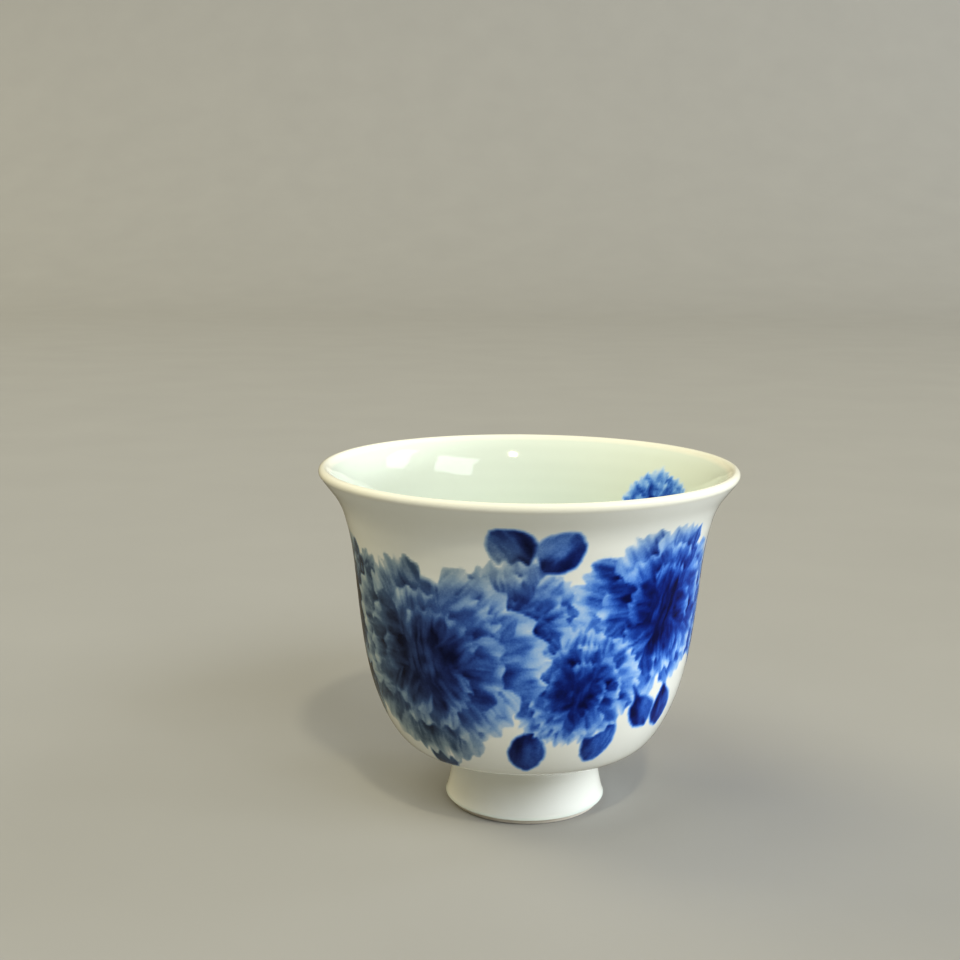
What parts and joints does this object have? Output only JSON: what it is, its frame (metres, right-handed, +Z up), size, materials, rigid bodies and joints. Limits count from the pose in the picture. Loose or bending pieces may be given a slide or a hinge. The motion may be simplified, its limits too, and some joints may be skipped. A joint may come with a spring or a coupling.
{
  "type": "teacup",
  "caption": "Handleless round porcelain teacup with a flared lip, a deep belly and a narrow ring foot, glazed in and out with blue brush painting.",
  "frame": {"origin": "on the cup's axis, in the plane of the bare edge that the cup stands on", "axes": "+Z up along the axis of the cup; -Y towards the face whose painting has the two leaves under the lip"},
  "size_m": [0.08, 0.08, 0.067],
  "materials": {
    "porcelain_body": "bare fired porcelain, matt and fine-grained",
    "painted_glaze": "clear gloss glaze over cobalt blue brush painting on white",
    "liner_glaze": "clear gloss glaze, faintly green-white, with a small cobalt flower",
    "clear_glaze": "clear gloss glaze on white"
  },
  "bodies": {
    "root": {"bowl": "porcelain_body", "foot_ring": "porcelain_body", "outer_glaze": "painted_glaze", "inner_glaze": "liner_glaze", "base_glaze": "clear_glaze"}
  },
  "joints": []
}
